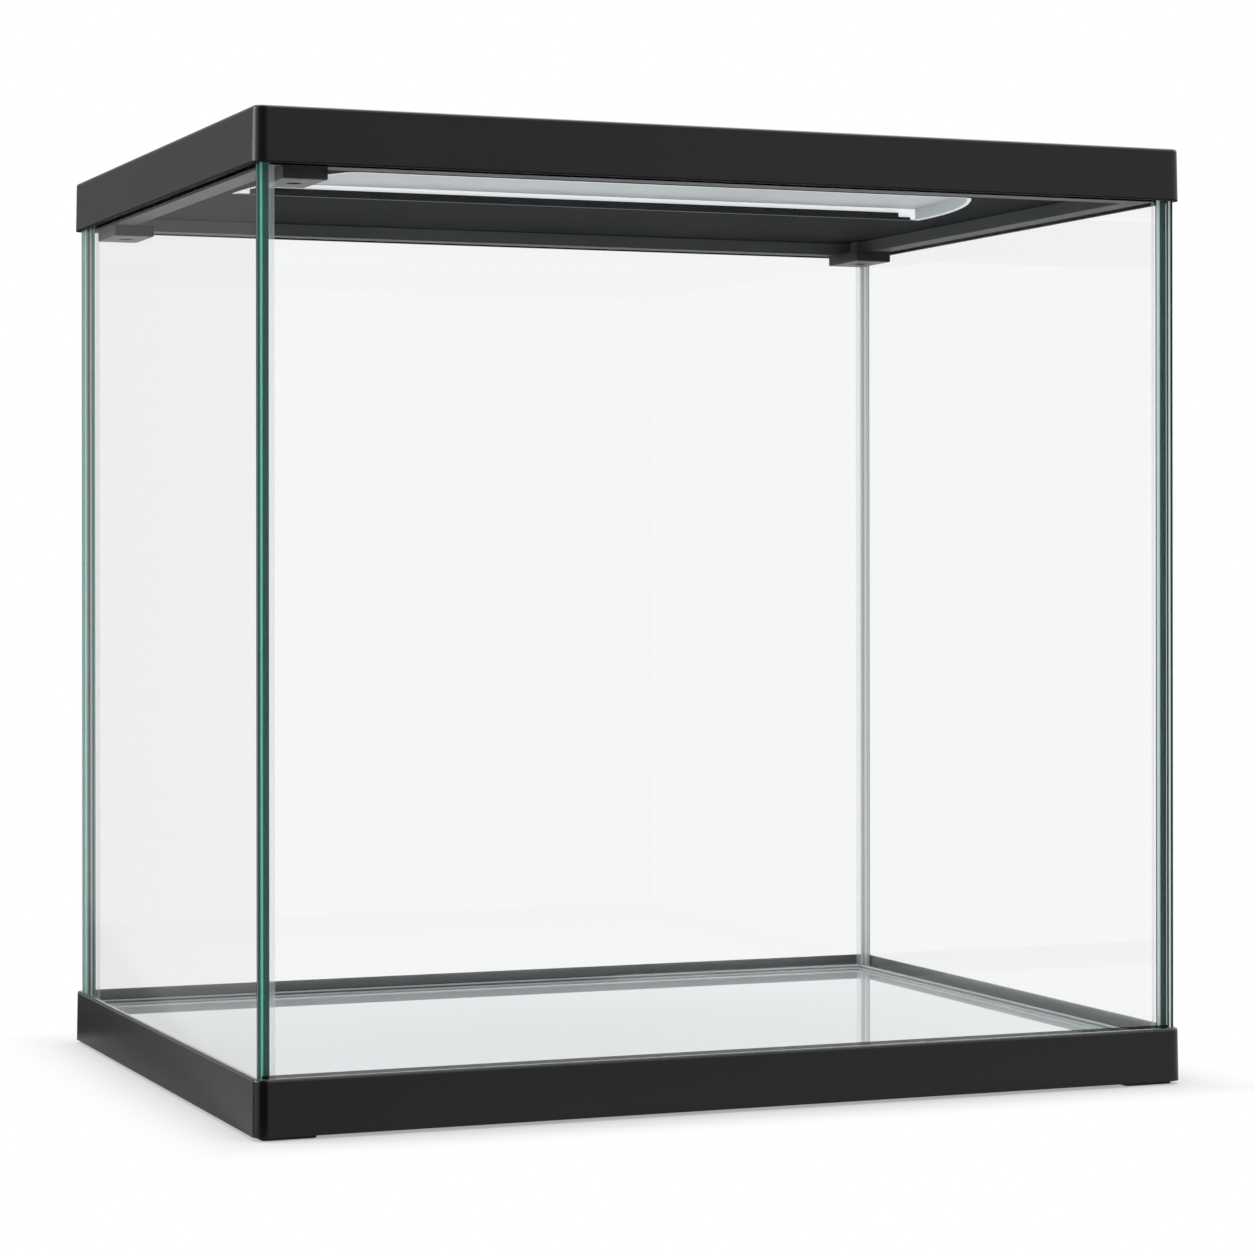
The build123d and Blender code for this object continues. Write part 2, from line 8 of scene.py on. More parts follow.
import bmesh
import bpy
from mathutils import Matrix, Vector


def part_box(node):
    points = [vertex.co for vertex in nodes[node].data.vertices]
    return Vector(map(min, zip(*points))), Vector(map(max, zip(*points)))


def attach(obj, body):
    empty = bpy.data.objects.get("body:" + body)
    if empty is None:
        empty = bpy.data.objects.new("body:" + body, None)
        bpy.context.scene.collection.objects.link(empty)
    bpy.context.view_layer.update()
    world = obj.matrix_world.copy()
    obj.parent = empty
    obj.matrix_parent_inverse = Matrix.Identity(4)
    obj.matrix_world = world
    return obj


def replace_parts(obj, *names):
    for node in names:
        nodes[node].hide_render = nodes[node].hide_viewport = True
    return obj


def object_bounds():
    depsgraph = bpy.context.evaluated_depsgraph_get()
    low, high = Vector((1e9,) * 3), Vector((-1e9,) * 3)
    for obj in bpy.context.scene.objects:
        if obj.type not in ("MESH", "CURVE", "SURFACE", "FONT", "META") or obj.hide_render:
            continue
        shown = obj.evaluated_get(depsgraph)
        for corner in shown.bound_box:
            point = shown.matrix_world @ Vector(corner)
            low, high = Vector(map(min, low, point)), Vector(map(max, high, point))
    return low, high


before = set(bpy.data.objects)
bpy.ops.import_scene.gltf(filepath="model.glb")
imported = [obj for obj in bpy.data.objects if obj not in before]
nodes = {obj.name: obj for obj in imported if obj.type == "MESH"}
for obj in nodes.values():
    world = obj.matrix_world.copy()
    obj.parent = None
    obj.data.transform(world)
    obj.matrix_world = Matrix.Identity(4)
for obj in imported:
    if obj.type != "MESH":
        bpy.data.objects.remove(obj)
cad_box = [list(corner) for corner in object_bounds()]
bpy.context.scene.view_settings.view_transform = "Standard"

# Camera.
# A long lens, level and a little over the middle of the tank, shifted so that the horizon lies above the
# picture's centre.
photo_width_px = 1254
focal_px = 3513.7
horizon_px = 564.4
camera_place = (-0.5583, -1.4297, 0.2173)
camera_turn = math.radians(21.705)
camera_roll = math.radians(0.06)

camera_data = bpy.data.cameras.new("camera")
camera_data.sensor_width = 36.0
camera_data.lens = camera_data.sensor_width * focal_px / photo_width_px
camera_data.shift_y = (horizon_px - photo_width_px / 2) / photo_width_px
camera_data.clip_end = 50.0
camera = bpy.data.objects.new("camera", camera_data)
camera.location = camera_place
camera.rotation_euler = (math.pi / 2, camera_roll, -camera_turn)
bpy.context.scene.collection.objects.link(camera)
bpy.context.scene.camera = camera


# Studio.
# A pale table that runs out of sight, a white surround, a large soft lamp overhead and a smaller one at
# the left rear. Reflections also see a few upright cards. Nothing of it is part of the aquarium.
class Wire:
    """An output in a material's node tree. Arithmetic on wires adds Math nodes."""

    def __init__(self, tree, socket):
        self.tree = tree
        self.socket = socket

    def maths(self, operation, *values):
        return add_node(self.tree, "ShaderNodeMath", {"operation": operation}, dict(enumerate(values)))

    def __add__(self, other):
        return self.maths("ADD", self, other)

    __radd__ = __add__

    def __sub__(self, other):
        return self.maths("SUBTRACT", self, other)

    def __rsub__(self, other):
        return self.maths("SUBTRACT", other, self)

    def __mul__(self, other):
        return self.maths("MULTIPLY", self, other)

    __rmul__ = __mul__

    def __truediv__(self, other):
        return self.maths("DIVIDE", self, other)

    def __gt__(self, other):
        return self.maths("GREATER_THAN", self, other)

    def __lt__(self, other):
        return self.maths("LESS_THAN", self, other)

    def __abs__(self):
        return self.maths("ABSOLUTE", self)

    def larger(self, other):
        return self.maths("MAXIMUM", self, other)

    def smooth(self, low, high):
        """0 under low, 1 over high, and a soft step between."""
        return add_node(
            self.tree,
            "ShaderNodeMapRange",
            {"interpolation_type": "SMOOTHSTEP"},
            {"Value": self, "From Min": low, "From Max": high},
        )


def add_node(tree, kind, settings=None, values=None, output=0):
    """Adds a node, makes its settings first, then its values or links, and returns one of its outputs."""
    node = tree.nodes.new(kind)
    for name, value in (settings or {}).items():
        if name == "stops":
            ramp = node.color_ramp.elements
            while len(ramp) < len(value):
                ramp.new(1.0)
            for element, (place, colour) in zip(ramp, value):
                element.position = place
                element.color = (*colour, 1.0)
        else:
            setattr(node, name, value)
    for name, value in (values or {}).items():
        socket = node.inputs[name]
        if isinstance(value, Wire):
            tree.links.new(value.socket, socket)
        elif isinstance(value, list):
            for wire in value:
                tree.links.new(wire.socket, socket)
        elif socket.type == "RGBA":
            socket.default_value = (*value, 1.0)
        else:
            socket.default_value = value
    return Wire(tree, node.outputs[output]) if node.outputs else None


def new_tree(name):
    """A material with an empty node tree."""
    material = bpy.data.materials.new(name)
    material.use_nodes = True
    material.node_tree.nodes.clear()
    return material, material.node_tree


def place_of(tree):
    """The shaded point in the object's own coordinates."""
    return add_node(tree, "ShaderNodeTexCoord", None, None, "Object")


def show(tree, shader):
    add_node(tree, "ShaderNodeOutputMaterial", None, {"Surface": shader})


def mix_colour(tree, factor, first, second):
    return add_node(tree, "ShaderNodeMix", {"data_type": "RGBA"}, {"Factor": factor, 6: first, 7: second}, 2)


def part_of(tree, axis):
    """One coordinate of the shaded point."""
    return add_node(tree, "ShaderNodeSeparateXYZ", None, {0: place_of(tree)}, axis)


def seen_rays(tree):
    """1 for rays from the camera, a mirror or glass."""
    camera_ray = add_node(tree, "ShaderNodeLightPath", None, None, "Is Camera Ray")
    mirror_ray = add_node(tree, "ShaderNodeLightPath", None, None, "Is Glossy Ray")
    glass_ray = add_node(tree, "ShaderNodeLightPath", None, None, "Is Transmission Ray")
    return camera_ray.larger(mirror_ray).larger(glass_ray)


dark_screen = (-0.53, -0.848, 0.0)  # black card beside the camera, on the left
dim_room = (0.37, -0.93, 0.0)  # the room behind the camera
dim_wall = (-0.37, 0.93, 0.0)  # grey card beyond the tank's rear left corner
pale_strip = (-0.245, 0.97, 0.0)  # narrow upright strip in front of the grey card


def mirrored(tree, direction):
    """How bright the surround is in a direction. Only mirror rays see the cards; views through glass stay
    white."""
    flat = add_node(
        tree, "ShaderNodeVectorMath", {"operation": "MULTIPLY"}, {0: direction, 1: (1.0, 1.0, 0.0)}
    )
    level = add_node(tree, "ShaderNodeVectorMath", {"operation": "NORMALIZE"}, {0: flat})

    def towards(target):
        values = {0: level, 1: target}
        return add_node(tree, "ShaderNodeVectorMath", {"operation": "DOT_PRODUCT"}, values, "Value")

    cards = (
        (1.0 - 0.2 * towards(dim_room).smooth(0.55, 0.85))
        * (1.0 - 0.99 * towards(dark_screen).smooth(0.7, 0.86))
        * (1.0 - 0.9 * towards(dim_wall).smooth(0.8, 0.93))
    ) + 0.38 * towards(pale_strip).smooth(0.9945, 0.9975)
    through_glass = add_node(tree, "ShaderNodeLightPath", None, None, "Is Transmission Ray")
    mirror_ray = add_node(tree, "ShaderNodeLightPath", None, None, "Is Glossy Ray") * (1.0 - through_glass)
    return 1.0 - mirror_ray * (1.0 - cards)


table_reach = 6.0
near_share = 0.36  # share of plain white beside the lit colour, next to the tank; it grows to all outwards
half_width, half_depth = cad_box[1][:2]
table, table_tree = new_tree("table")
gap = (abs(part_of(table_tree, "X")) - half_width).larger(abs(part_of(table_tree, "Y")) - half_depth)
share = gap.smooth(-0.01, 0.042) * (1.0 - near_share) + near_share
from_corner = add_node(
    table_tree,
    "ShaderNodeVectorMath",
    {"operation": "ADD"},
    {0: place_of(table_tree), 1: (half_width, half_depth, 0.0)},
)
bearing = add_node(table_tree, "ShaderNodeVectorMath", {"operation": "NORMALIZE"}, {0: from_corner})
lit_table = add_node(table_tree, "ShaderNodeBsdfDiffuse", None, {"Color": (0.8, 0.8, 0.805)})
plain_white = add_node(table_tree, "ShaderNodeEmission", None, {"Strength": mirrored(table_tree, bearing)})
show(
    table_tree,
    add_node(
        table_tree,
        "ShaderNodeMixShader",
        None,
        {0: seen_rays(table_tree) * share, 1: lit_table, 2: plain_white},
    ),
)
table_mesh = bpy.data.meshes.new("table")
table_corners = [(table_reach * x, table_reach * y, 0.0) for x, y in ((-1, -1), (1, -1), (1, 1), (-1, 1))]
table_mesh.from_pydata(table_corners, [], [(0, 1, 2, 3)])
table_mesh.materials.append(table)
table_top = bpy.data.objects.new("table_top", table_mesh)
bpy.context.scene.collection.objects.link(table_top)

world = bpy.data.worlds.new("surround")
world.use_nodes = True
world.node_tree.nodes.clear()
bpy.context.scene.world = world
sky = world.node_tree
surround_fill = 0.75  # brightness of the surround as a source of light
ray = add_node(sky, "ShaderNodeTexCoord", None, None, "Generated")
seen = seen_rays(sky)
strength = seen * mirrored(sky, ray) + (1.0 - seen) * surround_fill
surround = add_node(sky, "ShaderNodeBackground", None, {"Color": (1.0, 1.0, 1.0), "Strength": strength})
add_node(sky, "ShaderNodeOutputWorld", None, {"Surface": surround})


def soft_lamp(name, width, height, power, place, target):
    """A rectangular softbox aimed at a point."""
    data = bpy.data.lights.new(name, "AREA")
    data.shape = "RECTANGLE"
    data.size = width
    data.size_y = height
    data.energy = power
    lamp = bpy.data.objects.new(name, data)
    lamp.location = place
    aim = Vector(target) - Vector(place)
    lamp.rotation_euler = aim.to_track_quat("-Z", "Y").to_euler()
    bpy.context.scene.collection.objects.link(lamp)


soft_lamp("overhead_lamp", 2.2, 1.6, 22.0, (0.25, 0.15, 1.9), (0.0, 0.0, 0.2))
soft_lamp("left_rear_lamp", 1.2, 0.9, 19.0, (-1.93, 0.85, 0.6), (-0.2, -0.15, 0.35))


# Base frame and hood shell.
# Injection mouldings in black ABS. The tool was spark-eroded, so the faces are satin, with a fine even
# grain, and the plastic shows faint flow variation.
def noise(tree, scale, detail=2.0, stretch=None):
    """Noise on the object's coordinates, in cycles per metre."""
    where = place_of(tree)
    if stretch:
        where = add_node(tree, "ShaderNodeMapping", None, {"Vector": where, "Scale": stretch})
    return add_node(tree, "ShaderNodeTexNoise", None, {"Vector": where, "Scale": scale, "Detail": detail})


def ramp(tree, factor, *stops):
    return add_node(tree, "ShaderNodeValToRGB", {"stops": stops}, {"Fac": factor})


def bump(tree, height, depth):
    """A normal from a height between 0 and 1, as deep as depth in metres."""
    return add_node(tree, "ShaderNodeBump", None, {"Height": height, "Strength": 1.0, "Distance": depth})


def moulded_plastic(
    name, dark, pale, roughness, specular, matt_below=None, polished_above=None, painted_light_within=None
):
    """Textured plastic: a fine grain, with slow changes of shade and gloss. It is matt below one level,
    polished by handling above another, and painted paler inside an outline, as painted light."""
    material, tree = new_tree(name)
    flow = noise(tree, 9.0, 3.0)
    fine = noise(tree, 2600.0, 1.0)
    colour = ramp(tree, flow, (0.3, dark), (0.75, pale))
    rough = flow * 0.08 + fine * 0.06 + (roughness - 0.07)
    if matt_below is not None:
        rough = rough.larger(part_of(tree, "Z") < matt_below)
    coat = 0.0
    if polished_above is not None:
        coat = part_of(tree, "Z") > polished_above
    # painted light: inside the outline the colour is painted paler, for light on the inner walls
    if painted_light_within is not None:
        inside = (abs(part_of(tree, "X")) < painted_light_within[0]) * (abs(part_of(tree, "Y")) < painted_light_within[1])
        colour = mix_colour(tree, inside, colour, (0.15, 0.155, 0.158))
    shader = add_node(
        tree,
        "ShaderNodeBsdfPrincipled",
        None,
        {
            "Base Color": colour,
            "Roughness": rough,
            "Specular IOR Level": specular,
            "Coat Weight": coat,
            "Coat Roughness": 0.25,
            "Normal": bump(tree, fine, 0.00001),
        },
    )
    show(tree, shader)
    return material


def finish(node, *materials):
    """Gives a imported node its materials."""
    data = nodes[node].data
    data.materials.clear()
    for material in materials:
        data.materials.append(material)


hood_low, hood_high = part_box("hood_shell")
base_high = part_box("base_frame")[1]
front_low, front_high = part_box("front_glass")
edge_round = 0.0011  # the rounded top edge, which handling polishes
parting_edge = 0.0006  # the hood's lower edge, matt from the tool
inner_wall = 0.0008  # the base frame's inner walls begin within this of the glass
base_plastic = moulded_plastic(
    "base_plastic",
    (0.004, 0.004, 0.004),
    (0.006, 0.006, 0.006),
    0.26,
    0.3,
    polished_above=base_high.z - edge_round,
    # the base frame's inner walls are painted paler, as painted light
    painted_light_within=(front_high.x + inner_wall, inner_wall - front_low.y),
)
black_plastic = moulded_plastic(
    "black_plastic",
    (0.005, 0.005, 0.0052),
    (0.008, 0.008, 0.0083),
    0.35,
    0.36,
    matt_below=hood_low.z + parting_edge,
    polished_above=hood_high.z - edge_round,
)
finish("base_frame", base_plastic)
finish("hood_shell", black_plastic)

# Feet.
# L-shaped pads of black rubber, cut from sheet and stuck under the base frame.
rubber, rubber_tree = new_tree("foot_rubber")
crumb = noise(rubber_tree, 1500.0, 3.0)
crumb_colour = ramp(rubber_tree, crumb, (0.35, (0.008, 0.008, 0.008)), (0.7, (0.022, 0.022, 0.021)))
show(
    rubber_tree,
    add_node(
        rubber_tree,
        "ShaderNodeBsdfPrincipled",
        None,
        {
            "Base Color": crumb_colour,
            "Roughness": crumb * 0.2 + 0.65,
            "Normal": bump(rubber_tree, crumb, 0.00004),
        },
    ),
)
for corner in ("front_left", "front_right", "rear_left", "rear_right"):
    finish("foot_" + corner, rubber)


# Panes.
# 5 mm float glass with a trace of iron: clear through the face, green along the cut. The cut edges are
# ground and the arrises taken off, which leaves a thin green line round each pane. A pane's gloss is a coat
# on one of its faces, and its body doesn't bend the view.
def clear_through(name, tint, ior, coat, roughness, through=1.0, sealed_below=None, bands=None):
    """Clear material that lets lamps and soft light through. Below a level, dark sealant lies on it. bands
    gives a lower and an upper level, and the colours between them."""
    material, tree = new_tree(name)
    colour = tint
    if bands is not None:
        colour = ramp(tree, (part_of(tree, "Z") - bands[0]) / (bands[1] - bands[0]), *bands[2:])
    if sealed_below is not None:
        colour = mix_colour(tree, part_of(tree, "Z") < sealed_below, tint, (0.03, 0.036, 0.036))
    body = add_node(
        tree,
        "ShaderNodeBsdfPrincipled",
        None,
        {
            "Base Color": colour,
            "Roughness": roughness,
            "IOR": ior,
            "Transmission Weight": through,
            "Coat Weight": coat,
            "Coat Roughness": 0.0,
        },
    )
    lamp_ray = add_node(tree, "ShaderNodeLightPath", None, None, "Is Shadow Ray")
    soft_ray = add_node(tree, "ShaderNodeLightPath", None, None, "Is Diffuse Ray")
    straight = add_node(tree, "ShaderNodeBsdfTransparent", None, {"Color": tint})
    passed = lamp_ray.larger(soft_ray)
    show(tree, add_node(tree, "ShaderNodeMixShader", None, {0: passed, 1: body, 2: straight}))
    return material


pane_tint = (0.958, 0.962, 0.961)
sealant_line = 0.0005  # the dark line behind the front pane, over the base frame's top
front_face = clear_through("front_face", pane_tint, 1.0, 0.15, 0.0)
wall_face = clear_through("wall_face", pane_tint, 1.0, 0.5, 0.0)
plain_face = clear_through("plain_face", pane_tint, 1.0, 0.0, 0.0)
sealed_face = clear_through("sealed_face", pane_tint, 1.0, 0.0, 0.0, sealed_below=base_high.z + sealant_line)
floor_face = clear_through("floor_face", (0.95, 0.96, 0.965), 1.5, 0.5, 0.0)
enamel = moulded_plastic("enamel", (0.78, 0.81, 0.825), (0.82, 0.85, 0.865), 0.4, 0.5)


def show_ground_glass(tree, colour, roughness):
    """A ground face, with little gloss of its own."""
    values = {"Base Color": colour, "Roughness": roughness, "Specular IOR Level": 0.1}
    show(tree, add_node(tree, "ShaderNodeBsdfPrincipled", None, values))


def cut_glass(name, across, low, *stops):
    """The upright cut of a pane, a ground face that lets no light through. The light that runs in the pane,
    and what shows through the cut, are painted on here as bands of painted light along the edge.
    """
    material, tree = new_tree(name)
    depth = (abs(part_of(tree, across)) - low) / pane_thickness
    wander = noise(tree, 30.0, 2.0, (1.0, 1.0, 0.25))
    show_ground_glass(tree, ramp(tree, depth + (wander - 0.5) * 0.05, *stops), wander * 0.1 + 0.25)
    return material


def plain_cut(name, colour):
    """A cut of one colour."""
    material, tree = new_tree(name)
    wander = noise(tree, 30.0, 2.0, (1.0, 1.0, 0.25))
    show_ground_glass(tree, colour, wander * 0.1 + 0.25)
    return material


def ground_arris(name, dark, pale):
    """The narrow ground face along a pane's edge."""
    material, tree = new_tree(name)
    frost = noise(tree, 900.0, 2.0)
    show_ground_glass(tree, ramp(tree, frost, (0.3, dark), (0.8, pale)), frost * 0.2 + 0.35)
    return material


pane_thickness = front_high.y - front_low.y
inner_y = -front_high.y
inner_x = -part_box("left_glass")[1].x
# painted light: the white and bright green bands in the cuts are painted glints and painted light from
# within the pane
painted_lit_green = (0.21, 0.88, 0.68)
mid_green = (0.16, 0.33, 0.28)
deep_green = (0.001, 0.035, 0.024)
slate_green = (0.055, 0.12, 0.118)
light_slate = (0.5, 0.54, 0.54)
painted_glint_white = (0.95, 0.98, 0.98)
left_end_of_front = cut_glass(
    "left_end_of_front",
    "Y",
    inner_y,
    (0.15, mid_green),
    (0.25, deep_green),
)
right_end_of_front = cut_glass(
    "right_end_of_front",
    "Y",
    inner_y,
    (0.2, slate_green),
    (0.3, painted_glint_white),
    (0.5, painted_glint_white),
    (0.6, deep_green),
    (0.9, deep_green),
    (1.0, mid_green),
)
front_end_of_left = cut_glass(
    "front_end_of_left",
    "X",
    inner_x,
    (0.0, deep_green),
    (0.06, slate_green),
    (0.48, slate_green),
    (0.54, painted_lit_green),
)
front_end_of_right = cut_glass(
    "front_end_of_right",
    "X",
    inner_x,
    (0.0, light_slate),
    (0.08, painted_glint_white),
    (0.32, painted_glint_white),
    (0.42, slate_green),
    (0.95, slate_green),
    (1.0, deep_green),
)
end_of_rear = cut_glass(
    "end_of_rear", "Y", inner_y, (0.1, (0.3, 0.42, 0.4)), (0.5, (0.05, 0.12, 0.1)), (0.9, (0.4, 0.56, 0.52))
)
rear_end_of_left = cut_glass(
    "rear_end_of_left",
    "X",
    inner_x,
    (0.03, painted_glint_white),
    (0.12, (0.16, 0.2, 0.21)),
    (0.26, (0.11, 0.15, 0.155)),
    (0.33, (0.6, 0.66, 0.63)),
    (0.43, (0.5, 0.58, 0.54)),
    (0.51, (0.06, 0.11, 0.095)),
    (0.62, (0.11, 0.19, 0.18)),
    (0.78, (0.45, 0.58, 0.57)),
    (0.87, painted_glint_white),
)
rear_end_of_right = cut_glass(
    "rear_end_of_right",
    "X",
    inner_x,
    (0.0, (0.62, 0.64, 0.64)),
    (0.42, (0.5, 0.51, 0.51)),
    (0.5, (0.9, 0.92, 0.92)),
    (0.66, (0.86, 0.88, 0.88)),
    (0.74, (0.55, 0.57, 0.57)),
    (0.86, (0.7, 0.73, 0.72)),
    (0.96, painted_glint_white),
)
floor_cut = plain_cut("floor_cut", (0.2, 0.25, 0.25))
level_cut = plain_cut("level_cut", (0.15, 0.55, 0.43))
arris = ground_arris("arris", (0.1, 0.36, 0.29), (0.2, 0.5, 0.42))
wet_arris = ground_arris("wet_arris", (0.03, 0.07, 0.068), (0.05, 0.11, 0.108))


def box_mesh(name, low, high, edge):
    """A box with its edges taken off."""
    mesh = bpy.data.meshes.new(name)
    work = bmesh.new()
    bmesh.ops.create_cube(work, size=1.0)
    for vertex in work.verts:
        vertex.co = [(high if vertex.co[axis] > 0 else low)[axis] for axis in range(3)]
    bmesh.ops.bevel(work, geom=work.edges[:], offset=edge, segments=1, affect="EDGES", profile=0.5)
    work.to_mesh(mesh)
    work.free()
    return mesh


def add_piece(name, mesh, body, slot, *materials):
    """A finished piece that rides on a body."""
    for material in materials:
        mesh.materials.append(material)
    piece = bpy.data.objects.new(name, mesh)
    bpy.context.scene.collection.objects.link(piece)
    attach(piece, body)
    return piece


arris_width = 0.0003
skin = 0.00003  # where silicone wets glass, one of the two is drawn this much short of the other


def add_pane(node, faces, short_of_seal=0.0, wet_side=0.0):
    """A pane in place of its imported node. faces gives a material for each way that a face can point. The
    rear of the pane can stop a little short of the floor seal. Upright arrises on the wet side, 1 for the
    rear and -1 for the front, lie in silicone."""
    low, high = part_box(node)
    mesh = box_mesh(node + "_pane", low, high - Vector((0.0, short_of_seal, 0.0)), arris_width)
    materials = []
    for face in mesh.polygons:
        in_joint = face.normal.y * wet_side > 0.1 and abs(face.normal.z) < 0.1
        material = wet_arris if in_joint else arris
        for axis, name in enumerate("XYZ"):
            if abs(face.normal[axis]) > 0.99:
                material = faces[("+" if face.normal[axis] > 0 else "-") + name]
        if material not in materials:
            materials.append(material)
        face.material_index = materials.index(material)
    pane = add_piece(node + "_pane", mesh, "tank", "float_glass", *materials)
    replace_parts(pane, node)


cuts = {"-Z": level_cut, "+Z": level_cut}
add_pane(
    "front_glass",
    {"-Y": front_face, "+Y": sealed_face, "-X": left_end_of_front, "+X": right_end_of_front, **cuts},
    short_of_seal=skin,
    wet_side=1.0,
)
add_pane("rear_glass", {"-Y": wall_face, "+Y": plain_face, "-X": end_of_rear, "+X": end_of_rear, **cuts})
add_pane(
    "left_glass",
    {"-X": wall_face, "+X": plain_face, "-Y": front_end_of_left, "+Y": rear_end_of_left, **cuts},
    wet_side=-1.0,
)
add_pane(
    "right_glass",
    {"-X": wall_face, "+X": plain_face, "-Y": front_end_of_right, "+Y": rear_end_of_right, **cuts},
    wet_side=-1.0,
)
floor_cuts = {"-X": floor_cut, "+X": floor_cut, "-Y": floor_cut, "+Y": floor_cut}
add_pane("floor_glass", {"+Z": floor_face, "-Z": enamel, **floor_cuts})

# Silicone.
# Clear aquarium silicone: butt joints between the panes, tooled beads in the inner corners and round the
# floor, and a thin bed on the base frame's shelf.
clear_silicone = clear_through("clear_silicone", (0.95, 0.96, 0.96), 1.0, 0.0, 0.08, through=0.7)
wetted_silicone = clear_through("wetted_silicone", (0.97, 0.98, 0.98), 1.0, 0.0, 0.0)
joint_end = clear_through("joint_end", (0.05, 0.09, 0.09), 1.0, 0.0, 0.0)  # the front joints' outer ends
bead_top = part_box("floor_seal")[1].z
floor_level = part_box("floor_glass")[1].z
# painted light: the bands up the floor bead are painted, the pale ones as painted highlights and the dark
# ones as painted shade
bead_silicone = clear_through(
    "bead_silicone",
    (0.8, 0.82, 0.82),
    1.41,
    0.0,
    0.12,
    through=0.6,
    bands=(
        floor_level,
        bead_top,
        (0.1, (0.62, 0.66, 0.66)),
        (0.25, (0.14, 0.16, 0.16)),
        (0.45, (0.2, 0.22, 0.22)),
        (0.6, (0.75, 0.79, 0.79)),
        (0.8, (0.6, 0.64, 0.64)),
        (0.9, (0.05, 0.06, 0.06)),
    ),
)
joint_width = 0.0005
bead_leg = 0.0022
bead_steps = 7


def prism(name, outline, low, high):
    """A closed upright prism from a plan outline."""
    mesh = bpy.data.meshes.new(name)
    work = bmesh.new()
    floor = [work.verts.new((x, y, low)) for x, y in outline]
    face = work.faces.new(floor)
    top = bmesh.ops.extrude_face_region(work, geom=[face])["geom"]
    for item in top:
        if isinstance(item, bmesh.types.BMVert):
            item.co.z = high
    bmesh.ops.recalc_face_normals(work, faces=work.faces[:])
    work.to_mesh(mesh)
    work.free()
    return mesh


def seal_outline(side_x, side_y, low, high):
    """The joint across a side pane's end and the hollow bead inside it, in plan."""
    outer_x = max(abs(low.x), abs(high.x)) - skin
    joint_y = inner_y - skin
    inner_joint_y = inner_y - joint_width + skin
    corner_x = inner_x - skin
    points = [(outer_x, joint_y), (outer_x, inner_joint_y), (corner_x, inner_joint_y)]
    centre = (inner_x - bead_leg, inner_y - joint_width - bead_leg)
    for step in range(bead_steps):
        turn = math.pi / 2 * step / (bead_steps - 1)
        points.append(
            (centre[0] + (bead_leg - skin) * math.cos(turn), centre[1] + bead_leg * math.sin(turn))
        )
    points.append((inner_x - bead_leg, joint_y))
    return [(side_x * x, side_y * y) for x, y in points]


for corner, (side_x, side_y) in {
    "front_left": (-1, -1),
    "front_right": (1, -1),
    "rear_left": (-1, 1),
    "rear_right": (1, 1),
}.items():
    low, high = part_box("seal_" + corner)
    name = "corner_silicone_" + corner
    mesh = prism(name, seal_outline(side_x, side_y, low, high), low.z, high.z)
    for face in mesh.polygons:
        wetted = min(abs(face.normal.x), abs(face.normal.y)) < 0.05
        at_end = abs(face.normal.x) > 0.95 and abs(face.center.x) > inner_x + pane_thickness / 2
        face.material_index = 2 if at_end and side_y < 0 else int(wetted)
    piece = add_piece(name, mesh, "tank", "clear_silicone", clear_silicone, wetted_silicone, joint_end)
    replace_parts(piece, "seal_" + corner)
finish("floor_seal", bead_silicone)
finish("glass_bedding", clear_silicone)

# Light panel.
# The black moulding under the hood: the ledge over the glass, the recessed ceiling with its window and
# the chute of the feed opening. Its grain is coarser than the shell's. All of it below the ceiling, the
# ledge and its riser, is painted paler as painted light, and the faces that lie against the glass are
# painted near black as painted shade.
ledge_low = 0.3689
ceiling_low = 0.3749
level_skin = 0.0003  # a level face is told from its neighbours by this much
glass_gap = 0.0006  # the ledge's faces within this of the glass lie against it
ledge_reach_x = inner_x - glass_gap
ledge_reach_y = inner_y - glass_gap
panel_plastic, panel_tree = new_tree("panel_plastic")
panel_level = part_of(panel_tree, "Z")
panel_flow = noise(panel_tree, 9.0, 3.0)
panel_grain = noise(panel_tree, 1800.0, 1.0)
# painted light: below the ceiling the colour is painted paler
panel_tone_and_painted_light = mix_colour(
    panel_tree,
    panel_level < ceiling_low - 2 * level_skin,
    ramp(panel_tree, panel_flow, (0.3, (0.022, 0.0235, 0.0245)), (0.75, (0.029, 0.031, 0.0325))),
    ramp(panel_tree, panel_flow, (0.3, (0.075, 0.079, 0.083)), (0.75, (0.095, 0.1, 0.105))),
)
by_side_pane = abs(part_of(panel_tree, "X")) > ledge_reach_x
painted_shade_at_glass = by_side_pane.larger(abs(part_of(panel_tree, "Y")) > ledge_reach_y)
show(
    panel_tree,
    add_node(
        panel_tree,
        "ShaderNodeBsdfPrincipled",
        None,
        {
            # painted shade: the faces against the glass are painted near black
            "Base Color": mix_colour(panel_tree, painted_shade_at_glass, panel_tone_and_painted_light, (0.002, 0.002, 0.002)),
            "Roughness": panel_flow * 0.1 + 0.45,
            "Specular IOR Level": 0.0,
            "Coat Weight": ((panel_level < ledge_low + level_skin) * 0.25 + 0.03) * (1.0 - painted_shade_at_glass),
            "Coat Roughness": 0.3,
            "Normal": bump(panel_tree, panel_grain, 0.000012),
        },
    ),
)
block_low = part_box("block_front_left")[0].z
block_corners = ("front_left", "rear_left", "rear_right")
block_plastic, block_tree = new_tree("block_plastic")
block_flow = noise(block_tree, 60.0, 3.0)
